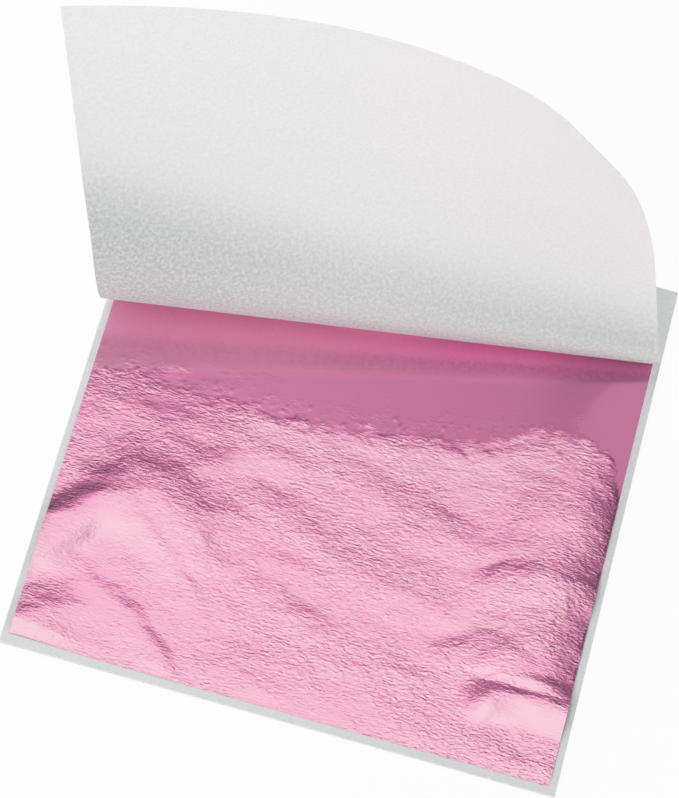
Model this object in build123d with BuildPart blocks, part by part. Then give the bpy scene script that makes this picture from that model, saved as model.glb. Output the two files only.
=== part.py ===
"""Booklet of metal leaf, opened at its first leaf.

A booklet is a pack of loose tissue sheets with one beaten metal leaf between
each two, held by a film of padding adhesive along the back edge.  The first
page is turned back: it stays flat for a short way in front of the adhesive,
bends up along a slanted line and curls forward at its right corner.

Frame: X runs along the front edge, Y back to the glued edge, Z up.
Origin: middle of the base sheet's underside.
"""
import os
from math import cos, radians, sqrt

from build123d import *

os.makedirs("parts", exist_ok=True)

# Tissue sheets, all cut to one size
sheet_width = 82.2
sheet_depth = 85.6
sheet_thickness = 0.04

# Metal leaf, a little smaller than the sheets
leaf_width = 80.0
leaf_thickness = 0.01
leaf_left_margin = 1.05
leaf_front_margin = 1.65
leaf_back_margin = 0.6

# Booklet
leaf_count = 10
adhesive_thickness = 0.15
adhesive_round = 0.06

# Turned page: the flat stretch in front of the adhesive, at each side edge
flat_left = 20.4
flat_right = 11.1
# its first bend, a cone: the width along each side edge, and the whole turn
bend_left = 30.35
bend_right = 7.2
bend_angle = 147.2
# The standing sheet past the bend: its last ruling meets the two side edges
# this far on.  The left edge is carried on as a line past the front edge.
sweep_left = 245.7
sweep_right = 54.0
left_lead_share = 0.244
right_lead_share = 0.387
# turn per whole sweep, in degrees, at even steps of the way along it
curl_angles = (-141, -134, -56, -102)
corner_nip = 0.3

bend_steps = 12
stand_steps = 6
curl_steps = 24
curl_spread_share = 1.5

leaf_depth = sheet_depth - leaf_front_margin - leaf_back_margin
leaf_pitch = sheet_thickness + leaf_thickness
pack_height = leaf_count * leaf_pitch + sheet_thickness
half_width = sheet_width / 2
front = -sheet_depth / 2
back = sheet_depth / 2


# Base sheet, which the whole booklet lies on
with BuildPart() as base_sheet:
    with BuildSketch(Plane.XY):
        Rectangle(sheet_width, sheet_depth)
    extrude(amount=sheet_thickness)
base_sheet.part.label = "base_sheet"
export_step(base_sheet.part, "parts/base_sheet.step")


# Padding adhesive: one soft film down the whole back edge of the pack
with BuildPart() as spine_adhesive:
    with BuildSketch(Plane.XZ.offset(-back)):
        with Locations((0, pack_height / 2)):
            Rectangle(sheet_width, pack_height)
    extrude(amount=-adhesive_thickness)
    outer_face = spine_adhesive.faces().sort_by(Axis.Y)[-1]
    fillet(outer_face.edges().filter_by(Axis.X), radius=adhesive_round)
spine_adhesive.part.label = "spine_adhesive"
export_step(spine_adhesive.part, "parts/spine_adhesive.step")


# Leaves, the first one on top: each lies on the sheet below it
for number in range(1, leaf_count + 1):
    leaf_bottom = pack_height - number * leaf_pitch
    with BuildPart() as metal_leaf:
        with BuildSketch(Plane.XY.offset(leaf_bottom)):
            with Locations((-half_width + leaf_left_margin, front + leaf_front_margin)):
                Rectangle(leaf_width, leaf_depth, align=(Align.MIN, Align.MIN))
        extrude(amount=leaf_thickness)
    name = f"metal_leaf_{number:02d}"
    metal_leaf.part.label = name
    export_step(metal_leaf.part, f"parts/{name}.step")


# Flat interleaf pages, each one under the leaf of the number before
for number in range(2, leaf_count + 1):
    page_bottom = pack_height - (number - 1) * leaf_pitch - sheet_thickness
    with BuildPart() as interleaf_page:
        with BuildSketch(Plane.XY.offset(page_bottom)):
            Rectangle(sheet_width, sheet_depth)
        extrude(amount=sheet_thickness)
    name = f"interleaf_page_{number:02d}"
    interleaf_page.part.label = name
    export_step(interleaf_page.part, f"parts/{name}.step")


# Turned page.  Paper bends without stretching, so it is straight along each
# ruling and turns a little at each: the rulings are drawn on the flat sheet,
# and the sheet in front of each one is turned about it.
def ruling(left_y, right_y):
    """Both ends of a ruling, where it leaves the flat sheet."""
    left_end = Vector(-half_width, left_y)
    right_end = Vector(half_width, right_y)
    if left_y < front:
        left_end += (right_end - left_end) * ((front - left_y) / (right_y - left_y))
    return left_end, right_end


def travel(share, total, lead_share):
    """How far along a side edge the sweep has come."""
    return total * (lead_share * share + (1 - lead_share) * share**2)


def turn_rate(share):
    """Turn per whole sweep, read off between the steps of curl_angles."""
    place = share * (len(curl_angles) - 1)
    step = min(int(place), len(curl_angles) - 2)
    return curl_angles[step] + (curl_angles[step + 1] - curl_angles[step]) * (place - step)


stand_left = back - flat_left - bend_left
stand_right = back - flat_right - bend_right

rulings = [(ruling(back, back), 0)]
for step in range(bend_steps):
    share = (step + 1 / 2) / bend_steps
    ends = ruling(back - flat_left - bend_left * share, back - flat_right - bend_right * share)
    rulings.append((ends, bend_angle / bend_steps))

# the sweep reaches the front left corner, then runs along the front edge
lead = sweep_left * left_lead_share
slow = sweep_left * (1 - left_lead_share)
corner_share = (sqrt(lead**2 + 4 * slow * (stand_left - front)) - lead) / (2 * slow)
shares = [corner_share * step / stand_steps for step in range(stand_steps + 1)]
for step in range(curl_steps):
    spread = ((step + 1) / curl_steps) ** curl_spread_share
    shares.append(corner_share + (1 - corner_share) * spread)
for before, share in zip(shares, shares[1:]):
    ends = ruling(
        stand_left - travel(share, sweep_left, left_lead_share),
        stand_right - travel(share, sweep_right, right_lead_share),
    )
    turn = (turn_rate(before) + turn_rate(share)) / 2 * (share - before)
    rulings.append((ends, turn))
last_ends = (Vector(half_width - corner_nip, front), Vector(half_width, front + corner_nip))
rulings.append((last_ends, 0))

sheet_origin = Vector(0, 0, pack_height - sheet_thickness / 2)
sheet_x = Vector(1, 0, 0)
sheet_y = Vector(0, 1, 0)
with BuildPart() as top_page:
    for (left_end, right_end), turn in rulings:
        start = sheet_origin + sheet_x * left_end.X + sheet_y * left_end.Y
        stop = sheet_origin + sheet_x * right_end.X + sheet_y * right_end.Y
        along = (stop - start).normalized()
        hinge = Axis((0, 0, 0), along)
        facing = sheet_x.cross(sheet_y).rotate(hinge, -turn / 2)
        section = Plane((start + stop) / 2, x_dir=along, z_dir=along.cross(facing))
        with BuildSketch(section):
            Rectangle((stop - start).length, sheet_thickness / cos(radians(turn / 2)))
        sheet_x = sheet_x.rotate(hinge, -turn)
        sheet_y = sheet_y.rotate(hinge, -turn)
        sheet_origin = start - sheet_x * left_end.X - sheet_y * left_end.Y
    loft(ruled=True)
top_page.part.label = "top_page"
export_step(top_page.part, "parts/top_page.step")
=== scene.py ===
import math

import bpy
import numpy as np
from mathutils import Matrix, Vector


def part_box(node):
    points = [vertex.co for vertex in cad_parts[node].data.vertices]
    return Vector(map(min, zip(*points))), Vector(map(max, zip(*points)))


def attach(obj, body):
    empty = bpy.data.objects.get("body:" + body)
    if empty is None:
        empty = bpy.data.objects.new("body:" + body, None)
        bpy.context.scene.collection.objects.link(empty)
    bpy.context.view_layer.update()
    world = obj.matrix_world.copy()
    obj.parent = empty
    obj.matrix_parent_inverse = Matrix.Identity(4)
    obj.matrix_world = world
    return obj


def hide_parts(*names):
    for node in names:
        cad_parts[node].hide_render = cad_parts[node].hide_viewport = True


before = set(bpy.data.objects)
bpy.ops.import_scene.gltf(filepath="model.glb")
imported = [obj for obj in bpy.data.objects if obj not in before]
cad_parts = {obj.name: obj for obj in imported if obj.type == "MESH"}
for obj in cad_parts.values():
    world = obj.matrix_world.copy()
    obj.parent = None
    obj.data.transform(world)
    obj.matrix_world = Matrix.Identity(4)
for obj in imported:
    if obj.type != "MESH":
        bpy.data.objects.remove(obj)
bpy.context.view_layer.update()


# BASE SHEET AND INTERLEAF PAGES
#
# Squares of thin white tissue, made on a machine, pressed smooth between rollers and cut
# in one stack.  Short fibres lie in all directions, so the sheet is faintly cloudy against
# the light and its face is matt.
mm = 0.001
sheet_width = 82.2 * mm
sheet_depth = 85.6 * mm
sheet_thickness = 0.04 * mm
leaf_count = 10


def linear(hex_code):
    """One sRGB hex colour as the linear colour that shaders take."""
    parts = [int(hex_code[i : i + 2], 16) / 255 for i in (1, 3, 5)]
    return [c / 12.92 if c <= 0.04045 else ((c + 0.055) / 1.055) ** 2.4 for c in parts] + [1.0]


def add(tree, kind, links=None, **settings):
    """A new node; links maps its sockets to values or to other nodes' outputs."""
    new = tree.nodes.new(kind)
    for name, value in settings.items():
        setattr(new, name, value)
    for socket, value in (links or {}).items():
        if isinstance(value, bpy.types.NodeSocket):
            tree.links.new(value, new.inputs[socket])
        else:
            new.inputs[socket].default_value = value
    return new


def bare_material(name):
    """A node material with its one shader, and that shader."""
    material = bpy.data.materials.new(name)
    material.use_nodes = True
    return material, material.node_tree.nodes["Principled BSDF"]


# Calendered tissue: wood fibre, matt, with clouds half a millimetre across where the fibres
# clump.  Its fibres are a few hundredths of a millimetre thick, too fine to show here, so
# the grain is drawn at a quarter of a millimetre.
tissue_pale = "#F6F8F7"
tissue_dark = "#EEF0EF"
tissue_fibre = "#DADDDC"
# painted shade: the grey that the turned page is darkened towards near its fold
tissue_painted_shade = "#B4B7B6"
cloud_size = 0.55 * mm
grain_size = 0.26 * mm
tissue_roughness = 0.62
tissue_gloss = 0.3
tissue_relief = 0.03 * mm


def calendered_tissue(name, place_attribute=None, painted_shade_attribute=None):
    """The tissue's material, on object coordinates or on a sheet's own flat place, with painted
    shade from an attribute if one is given.
    """
    material, shader = bare_material(name)
    tree = material.node_tree
    if place_attribute:
        place = add(tree, "ShaderNodeAttribute", attribute_name=place_attribute).outputs["Vector"]
    else:
        place = add(tree, "ShaderNodeTexCoord").outputs["Object"]
    clouds = add(
        tree,
        "ShaderNodeTexNoise",
        {"Vector": place, "Scale": 1 / cloud_size, "Detail": 4.0, "Roughness": 0.62},
    )
    grain = add(
        tree,
        "ShaderNodeTexNoise",
        {"Vector": place, "Scale": 1 / grain_size, "Detail": 3.0, "Roughness": 0.7},
    )
    cloud_share = add(
        tree,
        "ShaderNodeMapRange",
        {"Value": clouds.outputs["Fac"], "From Min": 0.34, "From Max": 0.66},
    )
    fibre_share = add(
        tree,
        "ShaderNodeMapRange",
        {"Value": grain.outputs["Fac"], "From Min": 0.52, "From Max": 0.78, "To Max": 0.5},
    )
    body = add(
        tree,
        "ShaderNodeMix",
        {0: cloud_share.outputs[0], 6: linear(tissue_pale), 7: linear(tissue_dark)},
        data_type="RGBA",
    )
    face = add(
        tree,
        "ShaderNodeMix",
        {0: fibre_share.outputs[0], 6: body.outputs[2], 7: linear(tissue_fibre)},
        data_type="RGBA",
    )
    if painted_shade_attribute:
        # painted shade: near its fold the turned sheet is darkened, more between its clumps
        between = add(
            tree,
            "ShaderNodeMapRange",
            {"Value": clouds.outputs["Fac"], "From Min": 0.36, "From Max": 0.60, "To Min": 0.4},
        )
        shade = add(tree, "ShaderNodeAttribute", attribute_name=painted_shade_attribute).outputs["Fac"]
        shaded = add(
            tree,
            "ShaderNodeMath",
            {0: between.outputs[0], 1: shade},
            operation="MULTIPLY",
        )
        face = add(
            tree,
            "ShaderNodeMix",
            {0: shaded.outputs[0], 6: face.outputs[2], 7: linear(tissue_painted_shade)},
            data_type="RGBA",
        )
    relief = add(
        tree,
        "ShaderNodeMath",
        {0: clouds.outputs["Fac"], 1: 0.25, 2: grain.outputs["Fac"]},
        operation="MULTIPLY_ADD",
    )
    bump = add(
        tree,
        "ShaderNodeBump",
        {"Height": relief.outputs[0], "Distance": tissue_relief, "Strength": 0.5},
    )
    tree.links.new(face.outputs[2], shader.inputs["Base Color"])
    tree.links.new(bump.outputs[0], shader.inputs["Normal"])
    shader.inputs["Roughness"].default_value = tissue_roughness
    shader.inputs["Specular IOR Level"].default_value = tissue_gloss
    return material


flat_tissue = calendered_tissue("calendered_tissue")
for node in ["base_sheet"] + [f"interleaf_page_{n:02d}" for n in range(2, leaf_count + 1)]:
    sheet = bpy.data.objects[node]
    sheet.data.materials.clear()
    sheet.data.materials.append(flat_tissue)


# FIRST METAL LEAF
#
# A beaten leaf of tinted metal, about a micrometre thick, laid on the tissue by hand.  The
# strip under the turned page is still pressed smooth; in front of it the leaf has crumpled
# into fine creases that run along the front edge, over a few soft folds.
leaf_width = 80.0 * mm
leaf_thickness = 0.01 * mm
leaf_low, leaf_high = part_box("metal_leaf_01")
leaf_left, leaf_front = leaf_low[0], leaf_low[1]
leaf_right, leaf_back = leaf_high[0], leaf_high[1]
leaf_top = leaf_high[2]

# where the smooth strip ends, from the left edge to the right one (x, y)
smooth_limit = [
    (-40.0, 3.0), (-35.8, 4.4), (-29.5, 4.6), (-25.7, 3.6), (-22.5, 4.0), (-19.1, 4.4),
    (-12.8, 3.9), (-8.0, 4.4), (-2.5, 4.9), (6.7, 6.6), (16.6, 8.3), (21.0, 10.0),
    (24.0, 12.3), (28.5, 13.6), (33.4, 14.2), (36.5, 13.2), (38.4, 10.0), (40.0, 5.0),
]  # fmt: skip

# Soft folds.  Each has its crest (x, y) from left to right, its height, how far it slopes
# down behind the crest and in front of it, and over what length it fades at its ends.
arch_crest = [(-60, -31.8), (-42, -28.8), (-37, -23.3), (-33, -18.2), (-30, -15.6), (-27, -14.7)]
soft_folds = [
    # the arch at the left: a wide fold, a narrower one on top of it, and one inside it
    (arch_crest + [(-23, -15.4), (-18, -17.6), (-8, -20.4)], 0.66, 13.0, 12.0, 12),
    (arch_crest + [(-23, -15.8), (-18, -18.9), (-14, -21.4)], 0.50, 7.5, 10.0, 8),
    ([(-40, -14), (-29, -18.2), (-26, -20.4), (-21, -24.5), (-16, -29), (-11, -33)],
     0.28, 3.2, 6.0, 8),
    # the two at the front left corner
    ([(-60, -45), (-42, -41), (-38, -39.5), (-34, -38.3), (-29, -38)], 0.95, 7.5, 8.0, 8),
    ([(-36, -32), (-27, -33), (-24, -34.7), (-20, -37.7), (-16, -42), (-10, -46)],
     0.30, 3.4, 6.0, 8),
    # low ones across the middle
    ([(-26, -10.5), (-16, -4.6), (-12.5, -3.4), (-8.5, -3.6), (-4, -5)], 0.14, 3.4, 4.0, 8),
    ([(-6, -2.2), (5, -4.4), (11, -6.2), (19, -7), (28, -8)], 0.22, 5.0, 5.0, 10),
    ([(-4, -16), (9, -18), (15, -18.6), (21, -18), (29, -18)], 0.20, 4.4, 5.0, 10),
    ([(-20, 3.4), (-8, 3.6), (2, 5.0), (8, 6.2), (14, 7.2), (21, 8.6), (31, 12)],
     0.12, 2.4, 5.0, 8),
    # three that run out to the right edge
    ([(19, -14), (24, -12.6), (27, -11), (30, -10.2), (33, -9.4), (54, -9)], 0.38, 3.6, 5.0, 7),
    ([(16, -29), (20, -26.6), (23.5, -24.4), (26, -23.4), (29, -23), (35, -23.5)],
     0.36, 4.6, 5.0, 7),
    ([(22, -31.4), (28, -30.4), (31, -29.4), (34, -28.8), (54, -28.3)], 1.10, 4.6, 4.8, 7),
    # faint ones between them
    ([(-14, -24), (-3, -25.5), (3, -29), (10, -31)], 0.18, 3.6, 5.0, 8),
    ([(-16, -9), (-6, -11.4), (-1, -14), (4, -15)], 0.18, 3.8, 4.5, 8),
    ([(6, -28.5), (14, -30), (24, -34)], 0.18, 3.8, 5.0, 8),
]  # fmt: skip


def ripple(x, y, pitch_x, pitch_y, seed):
    """Smooth random waves between about -1 and 1, one every pitch."""
    cells, middle_cell = 256, 64
    random = np.random.RandomState(seed)
    angles = random.uniform(0, 2 * math.pi, (cells, cells))
    u, v = x / pitch_x + middle_cell, y / pitch_y + middle_cell
    column, row = np.floor(u).astype(int), np.floor(v).astype(int)
    total = 0
    for step_x in (0, 1):
        for step_y in (0, 1):
            angle = angles[(row + step_y) % cells, (column + step_x) % cells]
            du, dv = u - column - step_x, v - row - step_y
            fade_u = 1 - abs(du) ** 3 * (abs(du) * (abs(du) * 6 - 15) + 10)
            fade_v = 1 - abs(dv) ** 3 * (abs(dv) * (abs(dv) * 6 - 15) + 10)
            total = total + fade_u * fade_v * (np.cos(angle) * du + np.sin(angle) * dv)
    return 1.5 * total


def ease(value, start, stop):
    """0 before start, 1 after stop and a smooth way between."""
    share = np.clip((value - start) / (stop - start), 0, 1)
    return share * share * (3 - 2 * share)


def fold(x, y, crest, height, behind, before, fade):
    """A fold's height: it rises to its crest and fades out at both ends."""
    crest_x, crest_y = zip(*crest)
    away = y - np.interp(x, crest_x, crest_y)
    slope = ease(1 - away / np.where(away > 0, behind, -before), 0, 1)
    ends = ease(x, crest_x[0], crest_x[0] + fade) * ease(-x, -crest_x[-1], fade - crest_x[-1])
    return height * slope * ends


# heights in millimetres, and the pitch (x, y) of the creases
smooth_lift = 0.12
swell_height, small_swell_height = 0.10, 0.06
crease_heights = (0.06, 0.05)
crease_pitches = ((2.4, 1.15), (1.4, 0.72))
crease_seeds = (9, 10)
grain_height, fine_grain_height = 0.24, 0.30
shoulder_height = 1.05

# the grid, in millimetres: fine rows where the leaf is crumpled, wide ones where it is smooth
fine_row, wide_row, leaf_column = 0.30, 0.85, 0.42
fine_until = 16.0
left_x, right_x = leaf_left / mm, leaf_right / mm
front_y, back_y = leaf_front / mm, leaf_back / mm
fine_rows = round((fine_until - front_y) / fine_row)
wide_rows = round((back_y - fine_until) / wide_row)
columns = round(leaf_width / mm / leaf_column)
xs = np.linspace(left_x, right_x, columns + 1)
ys = np.concatenate(
    [
        np.linspace(front_y, fine_until, fine_rows, endpoint=False),
        np.linspace(fine_until, back_y, wide_rows + 1),
    ]
)
X, Y = np.meshgrid(xs, ys)

# how far each place lies in front of the smooth strip, whose limit wanders and frays
limit_y = np.interp(X, [x for x, y in smooth_limit], [y for x, y in smooth_limit])
limit_wander = 1.5 * ripple(X, Y, 3.0, 1.6, 3)
limit_fray = 0.7 * ripple(X, Y, 1.0, 0.7, 4)
in_front = limit_y - Y + limit_wander + limit_fray
crumple = ease(in_front, -1.0, 2.6)
# the front edge stays down on the page
off_page = 0.12 + 0.88 * ease(Y - front_y, 0.0, 2.0)
in_fine_rows = ease(fine_until - Y, 0, 1)

# the folds, bent a little so that no crest is drawn with a rule
bent_x = X + 1.0 * ripple(X, Y, 7.0, 4.0, 5)
bent_y = Y + 0.03 * X + 0.5 * ripple(X, Y, 5.0, 4.0, 6)
folds = sum(fold(bent_x, bent_y, *soft_fold) for soft_fold in soft_folds)
swell = swell_height * ripple(bent_x, bent_y, 9.0, 5.0, 7)
swell += small_swell_height * ripple(bent_x, bent_y, 4.6, 2.6, 8)

# how loosely the fine creases lie: few of them behind the limit, fewer in one flat patch at
# the left and in the front left quarter, and more or fewer from place to place
flat_painted_patch = np.exp(-(((X + 28.5) / 4.5) ** 2) - ((Y - 0.8) / 1.6) ** 2)
flat_quarter = 0.4 * ease(-X, 8, 20) * ease(-Y, 12, 18)
stray = 0.20 * ease(in_front, -8, -1) * ease(ripple(X, Y, 4, 3, 15), -0.6, 0.6)
here_and_there = 0.85 + 0.5 * ripple(X, Y, 14, 9, 13)
loose = stray + (0.88 - flat_quarter) * ease(in_front, -1.2, 1.6) * here_and_there
loose *= 1 - 0.75 * flat_painted_patch
# they are drawn flat on the fronts of the folds and stand closer on their backs
fold_front = np.degrees(np.arctan(np.gradient(crumple * folds, ys, axis=0)))
loose *= (1 - 0.7 * ease(fold_front, 7, 14)) * (1 + 0.5 * ease(-fold_front, 2, 7))
creases = sum(
    size * (0.5 - abs(ripple(bent_x, bent_y, *pitch, seed)))
    for size, pitch, seed in zip(crease_heights, crease_pitches, crease_seeds)
)

# the right edge is turned down, from the page's fold to the strong crease near the front
shoulder_x = 32.6 + 0.8 * ripple(X, Y, 9, 7, 12)
past = np.clip((X - shoulder_x) / (right_x - shoulder_x), 0, 1)
shoulder = ease(Y, -28.5, -26.5) * (0.20 * ease(29 - Y, 0, 8) + 0.70 * ease(13 - Y, 0, 12))
turned_down = shoulder_height * shoulder * (ease(X, 21, 32.6) - past**2)

# single grains that the leaf was pressed over show as specks behind the smooth limit
grains = grain_height * np.clip(ripple(X, Y, 1.3, 0.9, 14) - 0.62, 0, 1) * ease(in_front, -10, -1)
fine_grains = fine_grain_height * np.clip(ripple(X, Y, 0.9, 0.62, 16) - 0.42, 0, 1)
fine_grains *= ease(in_front, -5, 0) * ease(-in_front, -2.5, 0)

lift = smooth_lift * ease(in_front, 0, 9)
height = off_page * (lift + crumple * (folds + swell) + loose * creases)
height = np.maximum(height, 0.0) * ease(fine_until - Y, 0, 2) + turned_down
height += (grains + fine_grains) * in_fine_rows
# the creases lean back, so each has a wide face to the front and a steep one behind, and
# the front edge was drawn on a little when the leaf was laid
lean = 1.3
drawn_on = 0.40 * ease(X, -38, -26) * ease(front_y + 4 - Y, 0, 4)
leaf_y = Y + lean * loose * creases * off_page - drawn_on
top = np.stack([X, leaf_y, leaf_top / mm + height], -1).reshape(-1, 3) * mm
bottom = top - [0, 0, 0.8 * leaf_thickness]


sharp_edge = math.radians(75)


def shell(name, top, bottom, rows, columns, attributes):
    """A closed thin sheet between two grids of points."""
    count = rows * columns
    index = np.arange(count).reshape(rows, columns)
    corners = [index[:-1, :-1], index[:-1, 1:], index[1:, 1:], index[1:, :-1]]
    quad = np.stack(corners, -1).reshape(-1, 4)
    rim = np.concatenate([index[0, :-1], index[:-1, -1], index[-1, :0:-1], index[:0:-1, 0]])
    turned = np.roll(rim, -1)
    wall = np.stack([rim, rim + count, turned + count, turned], -1)
    faces = np.concatenate([quad, quad[:, ::-1] + count, wall])
    mesh = bpy.data.meshes.new(name)
    mesh.from_pydata(np.concatenate([top, bottom]).tolist(), [], faces.tolist())
    for key, values in attributes.items():
        kind = "FLOAT_VECTOR" if values.ndim == 2 else "FLOAT"
        layer = mesh.attributes.new(key, kind, "POINT")
        flat = np.concatenate([values, values]).astype(np.float32).ravel()
        layer.data.foreach_set("vector" if values.ndim == 2 else "value", flat)
    mesh.shade_smooth()
    mesh.set_sharp_from_angle(angle=sharp_edge)
    piece = bpy.data.objects.new(name, mesh)
    bpy.context.scene.collection.objects.link(piece)
    return piece


# Painted reflection: the leaf's colour is painted paler the more degrees each place looks to the
# front, less where it looks to a side.  The right edge looks aside so much that it counts again
# there.
slope_y, slope_x = np.gradient(height, ys, xs)
to_front, to_left = np.degrees(np.arctan(slope_y)), np.degrees(np.arctan(slope_x))
side_loss, right_edge_loss, back_loss, front_gain = 1.5, 2.0, 0.8, 0.35
tilt = to_front - side_loss * (np.maximum(to_left - 5, 0) + np.maximum(-to_left - 9, 0))
tilt -= right_edge_loss * ease(X, 27, 30) * np.clip(-to_left - 2.5, 0, 6.5)
painted_reflection = tilt - back_loss * np.maximum(-to_front - 3, 0)
# painted reflection: paler the further in front of the smooth limit, deeper in the flat patch
painted_reflection += front_gain * np.clip(in_front, -2, 24) - 8 * flat_painted_patch
# painted highlight: just in front of the smooth limit the leaf is painted at its palest
painted_highlight_rim = ease(in_front, -0.8, 1.2) * ease(-in_front, -15, -5)
painted_highlight_rim *= ease(X, -19, -14) * ease(-X, -36, -32)
painted_reflection += painted_highlight_rim * (10 + 4 * ripple(X, Y, 9, 5, 17))
# painted reflection: the smooth strip's tint is painted deeper in front of the place where it
# mirrors the page's fold, and to the right
mirrored_fold = 2.7 + 24.3 * (X * mm / sheet_width + 0.5)
painted_fold_mirror = ease(mirrored_fold - Y, -1.0, 1.0)
painted_deepening_right = 0.1 * np.maximum(X + 12, 0) + 0.4 * np.maximum(X - 22, 0)
painted_reflection += (1 - crumple) * (1.4 - 10.0 * painted_fold_mirror - painted_deepening_right)
marks = {"crumple": np.clip(loose, 0, 1).ravel(), "painted_reflection": painted_reflection.ravel()}
first_leaf = shell("first_leaf", top, bottom, len(ys), len(xs), marks)

# Tinted aluminium leaf: bright metal under a clear pink lacquer, with a painted reflection in its
# colour: smooth, or on the back of a crease, it is painted a deep pink mirror; faces to the front
# paler.
# the leaf's pink in four tints, from deepest to palest, painted by how each place faces
leaf_painted_deepest = "#BF769A"
leaf_deep = "#F296C3"
leaf_pale = "#F6B6CF"
leaf_painted_palest = "#FACEDD"
leaf_smooth_roughness = 0.14
leaf_crumpled_roughness = 0.15
crinkle_pitch = 0.32 * mm
crinkle_stretch = 2.8
crinkle_slant = math.radians(-3)
crinkle_depth = 0.23 * mm
# from and to which degrees of facing the leaf is painted in each paler tint of its painted
# reflection
painted_reflection_tints = ((-16, -2, leaf_deep), (-2, 3, leaf_pale), (9, 24, leaf_painted_palest))


def tinted_leaf(name, crumpled_attribute, painted_reflection_attribute):
    """The leaf's material; one attribute is its crumple, one how it faces, in degrees, for its
    painted reflection.
    """
    material, shader = bare_material(name)
    tree = material.node_tree
    share = add(tree, "ShaderNodeAttribute", attribute_name=crumpled_attribute).outputs["Fac"]
    place = add(tree, "ShaderNodeTexCoord").outputs["Object"]
    along = add(
        tree,
        "ShaderNodeMapping",
        {"Vector": place, "Rotation": (0, 0, crinkle_slant), "Scale": (1 / crinkle_stretch, 1, 1)},
    )
    wander = add(
        tree,
        "ShaderNodeTexNoise",
        {"Vector": place, "Scale": 1 / (4 * crinkle_pitch), "Detail": 1.0},
    )
    bent = add(
        tree,
        "ShaderNodeVectorMath",
        {0: wander.outputs["Color"], 1: (2 * crinkle_pitch,) * 3, 2: along.outputs[0]},
        operation="MULTIPLY_ADD",
    )
    heights = []
    step = 0.25 * crinkle_pitch
    for offset in (0, step):
        at = add(
            tree,
            "ShaderNodeVectorMath",
            {0: bent.outputs[0], 1: (0, offset, 0)},
            operation="ADD",
        )
        waves = add(
            tree,
            "ShaderNodeTexNoise",
            {"Vector": at.outputs[0], "Scale": 1 / crinkle_pitch, "Detail": 2.0, "Roughness": 0.5},
        )
        heights.append(waves.outputs["Fac"])
    depth = add(
        tree,
        "ShaderNodeMath",
        {0: share, 1: heights[0]},
        operation="MULTIPLY",
    )
    bump = add(
        tree,
        "ShaderNodeBump",
        {"Height": depth.outputs[0], "Distance": crinkle_depth, "Strength": 1.0},
    )
    # the slope of the fine crinkles, in degrees, on top of that of the mesh, for the painted
    # reflection
    rise = add(
        tree,
        "ShaderNodeMath",
        {0: heights[1], 1: heights[0]},
        operation="SUBTRACT",
    )
    rise = add(
        tree,
        "ShaderNodeMath",
        {0: rise.outputs[0], 1: share},
        operation="MULTIPLY",
    )
    mesh_painted_reflection = add(tree, "ShaderNodeAttribute", attribute_name=painted_reflection_attribute)
    steepest = math.degrees(crinkle_depth / step)
    painted_reflection = add(
        tree,
        "ShaderNodeMath",
        {0: rise.outputs[0], 1: steepest, 2: mesh_painted_reflection.outputs["Fac"]},
        operation="MULTIPLY_ADD",
    )
    # painted reflection: the colour turns paler tint by tint as the place faces more to the front
    colour = linear(leaf_painted_deepest)
    for start, stop, paler in painted_reflection_tints:
        pale_share = add(
            tree,
            "ShaderNodeMapRange",
            {"Value": painted_reflection.outputs[0], "From Min": start, "From Max": stop},
        )
        mixed = add(
            tree,
            "ShaderNodeMix",
            {0: pale_share.outputs[0], 6: colour, 7: linear(paler)},
            data_type="RGBA",
        )
        colour = mixed.outputs[2]
    roughness = add(
        tree,
        "ShaderNodeMapRange",
        {"Value": share, "To Min": leaf_smooth_roughness, "To Max": leaf_crumpled_roughness},
    )
    tree.links.new(colour, shader.inputs["Base Color"])
    tree.links.new(roughness.outputs[0], shader.inputs["Roughness"])
    tree.links.new(bump.outputs[0], shader.inputs["Normal"])
    shader.inputs["Metallic"].default_value = 1.0
    return material


crumpled_leaf = tinted_leaf("tinted_aluminium_leaf", "crumple", "painted_reflection")
first_leaf.data.materials.append(crumpled_leaf)
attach(first_leaf, "metal_leaf_01")
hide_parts("metal_leaf_01")


# THE OTHER LEAVES
#
# The same leaf nine times more, each still pressed flat between two pages, so only faint
# creases mark it.  One tree of nodes makes a leaf from its seed.
crease_height = 0.004 * mm
crease_pitch = 5.0 * mm
leaf_edge_points = 72
pressed_thickness = 0.7 * leaf_thickness
pressed_gap = 0.1 * leaf_thickness
pressed_leaf = bpy.data.node_groups.new("pressed_leaf", "GeometryNodeTree")
pressed_leaf.interface.new_socket("Leaf", in_out="OUTPUT", socket_type="NodeSocketGeometry")
for label, kind in (
    ("Width", "NodeSocketFloat"),
    ("Depth", "NodeSocketFloat"),
    ("Thickness", "NodeSocketFloat"),
    ("Place", "NodeSocketVector"),
    ("Crease Height", "NodeSocketFloat"),
    ("Seed", "NodeSocketInt"),
):
    pressed_leaf.interface.new_socket(label, in_out="INPUT", socket_type=kind)
given = add(pressed_leaf, "NodeGroupInput").outputs
plain = add(
    pressed_leaf,
    "GeometryNodeMeshGrid",
    {
        "Size X": given["Width"],
        "Size Y": given["Depth"],
        "Vertices X": leaf_edge_points,
        "Vertices Y": leaf_edge_points,
    },
)
waves = add(
    pressed_leaf,
    "ShaderNodeTexNoise",
    {"W": given["Seed"], "Scale": 1 / crease_pitch, "Detail": 2.0},
    noise_dimensions="4D",
)
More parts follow.
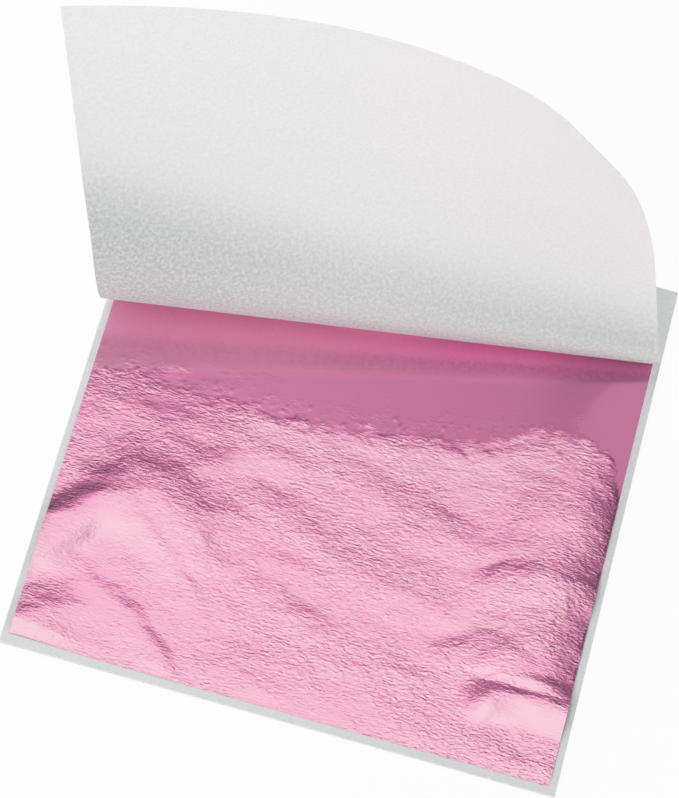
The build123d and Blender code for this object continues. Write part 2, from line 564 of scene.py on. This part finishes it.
# a noise is 0.5 in its middle, so its distance from that makes a sharp valley line
ridge = add(
    pressed_leaf,
    "ShaderNodeMath",
    {0: waves.outputs["Fac"], 1: 0.5},
    operation="SUBTRACT",
)
ridge = add(pressed_leaf, "ShaderNodeMath", {0: ridge.outputs[0]}, operation="ABSOLUTE")
ridge = add(
    pressed_leaf,
    "ShaderNodeMath",
    {0: ridge.outputs[0], 1: given["Crease Height"]},
    operation="MULTIPLY",
)
upwards = add(pressed_leaf, "ShaderNodeCombineXYZ", {"Z": ridge.outputs[0]})
shift = add(
    pressed_leaf,
    "ShaderNodeVectorMath",
    {0: upwards.outputs[0], 1: given["Place"]},
    operation="ADD",
)
creased = add(
    pressed_leaf,
    "GeometryNodeSetPosition",
    {"Geometry": plain.outputs["Mesh"], "Offset": shift.outputs[0]},
)
underside = add(pressed_leaf, "GeometryNodeFlipFaces", {"Mesh": creased.outputs[0]})
thickness = add(pressed_leaf, "ShaderNodeCombineXYZ", {"Z": given["Thickness"]})
raised = add(
    pressed_leaf,
    "GeometryNodeExtrudeMesh",
    {"Mesh": creased.outputs[0], "Offset": thickness.outputs[0], "Individual": False},
)
both = add(pressed_leaf, "GeometryNodeJoinGeometry", {0: underside.outputs[0]})
pressed_leaf.links.new(raised.outputs["Mesh"], both.inputs[0])
closed = add(
    pressed_leaf,
    "GeometryNodeMergeByDistance",
    {"Geometry": both.outputs[0], "Distance": leaf_thickness / 10},
)
realized = add(pressed_leaf, "GeometryNodeRealizeInstances", {"Geometry": closed.outputs[0]})
tinted = add(
    pressed_leaf,
    "GeometryNodeSetMaterial",
    {"Geometry": realized.outputs[0], "Material": crumpled_leaf},
)
add(pressed_leaf, "NodeGroupOutput", {0: tinted.outputs[0]})
sockets = pressed_leaf.interface.items_tree
input_names = {item.name: item.identifier for item in sockets if item.in_out == "INPUT"}
for n in range(2, leaf_count + 1):
    node = f"metal_leaf_{n:02d}"
    low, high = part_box(node)
    middle_x, middle_y = (low[0] + high[0]) / 2, (low[1] + high[1]) / 2
    maker = bpy.data.objects.new("leaf_maker", bpy.data.meshes.new("leaf_maker"))
    bpy.context.scene.collection.objects.link(maker)
    modifier = maker.modifiers.new("pressed_leaf", "NODES")
    modifier.node_group = pressed_leaf
    for label, value in (
        ("Width", high[0] - low[0]),
        ("Depth", high[1] - low[1]),
        ("Thickness", pressed_thickness),
        ("Place", (middle_x, middle_y, low[2] + pressed_gap)),
        ("Crease Height", crease_height),
        ("Seed", n),
    ):
        modifier[input_names[label]] = value
    bpy.context.view_layer.update()
    made = maker.evaluated_get(bpy.context.evaluated_depsgraph_get())
    mesh = bpy.data.meshes.new_from_object(made)
    maker.modifiers.remove(modifier)
    bpy.data.objects.remove(maker)
    mesh.shade_smooth()
    mesh.set_sharp_from_angle(angle=sharp_edge)
    leaf = bpy.data.objects.new(f"pressed_leaf_{n:02d}", mesh)
    bpy.context.scene.collection.objects.link(leaf)
    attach(leaf, node)
    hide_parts(node)


# PADDING ADHESIVE
#
# White water-based padding compound, brushed in one coat down the clamped back edge.  It
# dries to a soft, slightly glossy film with faint brush lines along the edge.
adhesive_white = "#ECEBE6"
adhesive_dark = "#DDDBD3"
adhesive_roughness = 0.45
brush_pitch = 0.12 * mm
brush_depth = 0.02 * mm
brush_stretch = 25

# Dried padding compound: cream white and satin, with fine lines where the bristles ran.
padding_compound, shader = bare_material("brushed_padding_compound")
tree = padding_compound.node_tree
place = add(tree, "ShaderNodeTexCoord").outputs["Object"]
strokes = add(
    tree,
    "ShaderNodeMapping",
    {"Vector": place, "Scale": (1 / brush_stretch, 1, 1)},
)
brushed = add(
    tree,
    "ShaderNodeTexNoise",
    {"Vector": strokes.outputs[0], "Scale": 1 / brush_pitch, "Detail": 3.0},
)
colour = add(
    tree,
    "ShaderNodeMix",
    {0: brushed.outputs["Fac"], 6: linear(adhesive_white), 7: linear(adhesive_dark)},
    data_type="RGBA",
)
bump = add(
    tree,
    "ShaderNodeBump",
    {"Height": brushed.outputs["Fac"], "Distance": brush_depth, "Strength": 0.6},
)
tree.links.new(colour.outputs[2], shader.inputs["Base Color"])
tree.links.new(bump.outputs[0], shader.inputs["Normal"])
shader.inputs["Roughness"].default_value = adhesive_roughness
adhesive = bpy.data.objects["spine_adhesive"]
adhesive.data.materials.clear()
adhesive.data.materials.append(padding_compound)


# TURNED PAGE
#
# The first tissue of the pack, folded back by hand.  It stays flat for a short way in front
# of the adhesive, bends up along a slanted cone and stands in the air, curling to its
# corner.  Paper doesn't stretch, so it is straight along every ruling.

# the flat stretch, the bend and the sweep past it, along the left and the right edge
flat_left, flat_right = 20.4 * mm, 11.1 * mm
bend_left, bend_right = 30.35 * mm, 7.2 * mm
sweep_left, sweep_right = 245.7 * mm, 54.0 * mm
left_lead_share, right_lead_share = 0.244, 0.387
bend_angle = math.radians(147.2)
# turn per whole sweep, at even steps of the way along it
curl_angles = [math.radians(a) for a in (-141, -134, -56, -102)]
corner_nip = 0.3 * mm
bend_steps, stand_steps, curl_steps, curl_spread_share = 60, 24, 120, 1.5
ruling_points = 48
half_width, page_front, page_back = sheet_width / 2, -sheet_depth / 2, sheet_depth / 2
page_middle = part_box("interleaf_page_02")[1][2] + leaf_thickness + sheet_thickness / 2


def ruling(left_y, right_y):
    """Both ends of a ruling, where it leaves the flat sheet."""
    left_end, right_end = Vector((-half_width, left_y, 0)), Vector((half_width, right_y, 0))
    if left_y < page_front:
        left_end += (right_end - left_end) * ((page_front - left_y) / (right_y - left_y))
    return left_end, right_end


def travel(share, total, lead_share):
    """How far along a side edge the sweep has come."""
    return total * (lead_share * share + (1 - lead_share) * share**2)


bend_start_left, bend_start_right = page_back - flat_left, page_back - flat_right
stand_left, stand_right = bend_start_left - bend_left, bend_start_right - bend_right
rulings = [(ruling(page_back, page_back), 0)]
for step in range(bend_steps):
    share = (step + 0.5) / bend_steps
    ends = ruling(bend_start_left - bend_left * share, bend_start_right - bend_right * share)
    rulings.append((ends, bend_angle / bend_steps))
# the sweep reaches the front left corner, then runs along the front edge
lead, slow = sweep_left * left_lead_share, sweep_left * (1 - left_lead_share)
corner_share = (math.sqrt(lead**2 + 4 * slow * (stand_left - page_front)) - lead) / (2 * slow)
shares = [corner_share * step / stand_steps for step in range(stand_steps + 1)]
for step in range(curl_steps):
    spread = ((step + 1) / curl_steps) ** curl_spread_share
    shares.append(corner_share + (1 - corner_share) * spread)
knots = np.linspace(0, 1, len(curl_angles))
for before, share in zip(shares, shares[1:]):
    ends = ruling(
        stand_left - travel(share, sweep_left, left_lead_share),
        stand_right - travel(share, sweep_right, right_lead_share),
    )
    rate = (np.interp(before, knots, curl_angles) + np.interp(share, knots, curl_angles)) / 2
    rulings.append((ends, float(rate) * (share - before)))
corner_left = Vector((half_width - corner_nip, page_front, 0))
corner_right = Vector((half_width, page_front + corner_nip, 0))
rulings.append(((corner_left, corner_right), 0))


def painted_fold_shade(flat):
    """How much shade is painted on the sheet near its fold, by its place on the flat sheet."""
    across = flat.x / sheet_width + 0.5
    past_bend = stand_left + (stand_right - stand_left) * across - flat.y
    bend_width = bend_left + (bend_right - bend_left) * across
    # it fades past the bend, over a length that shrinks to the right
    shade = 1 - ease(past_bend, -4 * mm, (14 - 5 * across) * mm)
    # and starts only where the bend turns back over itself, not on its flat side
    turned_share = 1 + past_bend / bend_width
    shade *= ease(turned_share, 0.34, 0.46)
    # painted shade, darker still just above the fold's lower edge
    painted_edge_shade = ease(across, 0.2, 0.5) * (1 - ease(turned_share, 0.50, 0.72))
    return shade * (0.73 - 0.28 * ease(across, 0.0, 0.5) + 0.30 * painted_edge_shade)


# the sheet in front of each ruling is turned about it
bent = Matrix.Translation((0, 0, page_middle))
front_face, back_face, flat_place, painted_fold_shades = [], [], [], []
for (left_end, right_end), turn in rulings:
    start, stop = bent @ left_end, bent @ right_end
    along = (stop - start).normalized()
    half_turn = Matrix.Rotation(-turn / 2, 3, along)
    normal = half_turn @ (bent.to_3x3() @ Vector((0, 0, 1)))
    for i in range(ruling_points):
        share = i / (ruling_points - 1)
        point = start.lerp(stop, share)
        front_face.append((point + normal * sheet_thickness / 2)[:])
        back_face.append((point - normal * sheet_thickness / 2)[:])
        flat = left_end.lerp(right_end, share)
        flat_place.append(flat[:])
        painted_fold_shades.append(painted_fold_shade(flat))
    hinge_turn = Matrix.Rotation(-turn, 4, along)
    bent = Matrix.Translation(start) @ hinge_turn @ Matrix.Translation(-start) @ bent
turned_page = shell(
    "turned_page",
    np.array(back_face),
    np.array(front_face),
    len(rulings),
    ruling_points,
    {"sheet_place": np.array(flat_place), "painted_fold_shades": np.array(painted_fold_shades)},
)
turned_tissue = calendered_tissue("calendered_tissue_turned", "sheet_place", "painted_fold_shades")
turned_page.data.materials.append(turned_tissue)
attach(turned_page, "top_page")
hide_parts("top_page")


# TABLE, LAMPS AND CAMERA
#
# A white table that runs out of view, three large soft lamps above it, and the long lens that
# the photograph was taken with.
table_size = 3.0
table_gap = 0.05 * mm
table_roughness = 0.9
table_shown_white = 0.92
half = table_size / 2
corners = [(-half, -half, 0), (half, -half, 0), (half, half, 0), (-half, half, 0)]
table_mesh = bpy.data.meshes.new("table")
table_mesh.from_pydata(corners, [], [(0, 1, 2, 3)])
table_top = bpy.data.objects.new("table", table_mesh)
table_top.location.z = -table_gap
bpy.context.scene.collection.objects.link(table_top)

# Matt white painted board.  What the camera and the leaf see of it is almost plain white, as
# in the photograph, and the rest still takes the booklet's shadow.
table_white, shader = bare_material("matt_white_board")
tree = table_white.node_tree
shader.inputs["Base Color"].default_value = linear("#FCFCFC")
shader.inputs["Roughness"].default_value = table_roughness
shader.inputs["Specular IOR Level"].default_value = 0.0
rays = add(tree, "ShaderNodeLightPath")
seen = add(
    tree,
    "ShaderNodeMath",
    {0: rays.outputs["Is Camera Ray"], 1: rays.outputs["Is Glossy Ray"]},
    operation="MAXIMUM",
)
seen = add(
    tree,
    "ShaderNodeMath",
    {0: seen.outputs[0], 1: rays.outputs["Is Transmission Ray"]},
    operation="MAXIMUM",
)
mostly_seen = add(
    tree,
    "ShaderNodeMath",
    {0: seen.outputs[0], 1: table_shown_white},
    operation="MULTIPLY",
)
paper_white = add(tree, "ShaderNodeEmission", {"Color": linear("#FFFFFF"), "Strength": 1.0})
blend = add(
    tree,
    "ShaderNodeMixShader",
    {0: mostly_seen.outputs[0], 1: shader.outputs[0], 2: paper_white.outputs[0]},
)
tree.links.new(blend.outputs[0], tree.nodes["Material Output"].inputs["Surface"])
table_mesh.materials.append(table_white)

# The room: white to the camera.  The leaf mirrors a white screen overhead, which reaches
# further down in front than behind and dims to the right.  The room's own light comes in
# low, most of it from the front.
world = bpy.data.worlds.new("studio")
bpy.context.scene.world = world
world.use_nodes = True
tree = world.node_tree
rays = add(tree, "ShaderNodeLightPath")
direction = add(tree, "ShaderNodeTexCoord").outputs["Generated"]
way = add(tree, "ShaderNodeSeparateXYZ", {0: direction}).outputs
front_share = add(
    tree,
    "ShaderNodeMapRange",
    {"Value": way["Y"], "From Min": -1.0, "From Max": 0.0, "To Min": 0.5, "To Max": 0.0},
)
screen_height = add(
    tree,
    "ShaderNodeMath",
    {0: way["Z"], 1: front_share.outputs[0]},
    operation="ADD",
)
screen = add(
    tree,
    "ShaderNodeMapRange",
    {"Value": screen_height.outputs[0], "From Min": 0.40, "From Max": 0.80, "To Min": 0.30},
    interpolation_type="SMOOTHSTEP",
)
beside = add(
    tree,
    "ShaderNodeMapRange",
    {"Value": way["X"], "From Min": 0.24, "From Max": 0.60, "To Min": 1.0, "To Max": 0.60},
    interpolation_type="SMOOTHSTEP",
)
mirrored_light = add(
    tree,
    "ShaderNodeMath",
    {0: screen.outputs[0], 1: beside.outputs[0]},
    operation="MULTIPLY",
)
low = add(
    tree,
    "ShaderNodeMapRange",
    {"Value": way["Z"], "From Min": 0.55, "From Max": 0.75, "To Min": 1.0, "To Max": 0.0},
    interpolation_type="SMOOTHSTEP",
)
to_front_light = add(
    tree,
    "ShaderNodeMapRange",
    {"Value": way["Y"], "From Min": -0.3, "From Max": 0.1, "To Min": 0.92, "To Max": 0.24},
    interpolation_type="SMOOTHSTEP",
)
room_light = add(
    tree,
    "ShaderNodeMath",
    {0: low.outputs[0], 1: to_front_light.outputs[0]},
    operation="MULTIPLY",
)
room, mirrored, white = [
    add(tree, "ShaderNodeBackground", {"Color": linear("#FFFFFF"), "Strength": strength})
    for strength in (room_light.outputs[0], mirrored_light.outputs[0], 1.0)
]
glossy = add(
    tree,
    "ShaderNodeMath",
    {0: rays.outputs["Is Glossy Ray"], 1: rays.outputs["Is Transmission Ray"]},
    operation="MAXIMUM",
)
lit = add(
    tree,
    "ShaderNodeMixShader",
    {0: glossy.outputs[0], 1: room.outputs[0], 2: mirrored.outputs[0]},
)
shown = add(
    tree,
    "ShaderNodeMixShader",
    {0: rays.outputs["Is Camera Ray"], 1: lit.outputs[0], 2: white.outputs[0]},
)
tree.links.new(shown.outputs[0], tree.nodes["World Output"].inputs["Surface"])

# each lamp's place and size in metres and its power in watts; all look at the booklet
for lamp_name, place, size, power in (
    ("overhead_softbox", (-0.1, -0.1, 1.1), 1.0, 2.6),
    ("front_softbox", (-0.42, -0.97, 0.42), 0.8, 3.7),
    ("back_softbox", (-0.30, 0.72, 0.9), 0.8, 5.6),
):
    lamp_data = bpy.data.lights.new(lamp_name, "AREA")
    lamp_data.shape = "SQUARE"
    lamp_data.size = size
    lamp_data.energy = power
    lamp = bpy.data.objects.new(lamp_name, lamp_data)
    lamp.location = place
    lamp.rotation_euler = (-lamp.location).to_track_quat("-Z", "Y").to_euler()
    lamp.visible_glossy = False
    bpy.context.scene.collection.objects.link(lamp)

# the light that a white table throws back up into the fold of the page, from under it
bounce_data = bpy.data.lights.new("table_bounce", "AREA")
bounce_data.shape = "RECTANGLE"
bounce_data.size, bounce_data.size_y = 84 * mm, 16 * mm
bounce_data.energy = 0.0068
bounce_data.use_shadow = False
bounce = bpy.data.objects.new("table_bounce", bounce_data)
bounce.location = (0, 23.5 * mm, -35 * mm)
bounce.rotation_euler = (math.pi, 0, math.radians(9))
bounce.visible_glossy = False
bpy.context.scene.collection.objects.link(bounce)

# The camera was fitted to the corners of the leaf and of the base sheet.  The image's middle
# is the photograph's, so the lens has no shift.
image_height = 798
focal_pixels = 4600
camera_place = Vector((-0.333 * mm, -312.48 * mm, 599.29 * mm))
camera_right = Vector((0.962944, 0.239788, 0.123455))
camera_up = Vector((-0.269655, 0.847329, 0.457515))
camera_data = bpy.data.cameras.new("camera")
camera_data.sensor_fit = "VERTICAL"
camera_data.sensor_height = 36
camera_data.lens = focal_pixels / image_height * camera_data.sensor_height
camera_data.clip_start = 0.01
camera = bpy.data.objects.new("camera", camera_data)
camera_back = camera_right.cross(camera_up).normalized()
camera_turn = Matrix((camera_right, camera_up, camera_back)).transposed()
camera.matrix_world = Matrix.Translation(camera_place) @ camera_turn.to_4x4()
bpy.context.scene.collection.objects.link(camera)
bpy.context.scene.camera = camera
bpy.context.scene.view_settings.view_transform = "Standard"
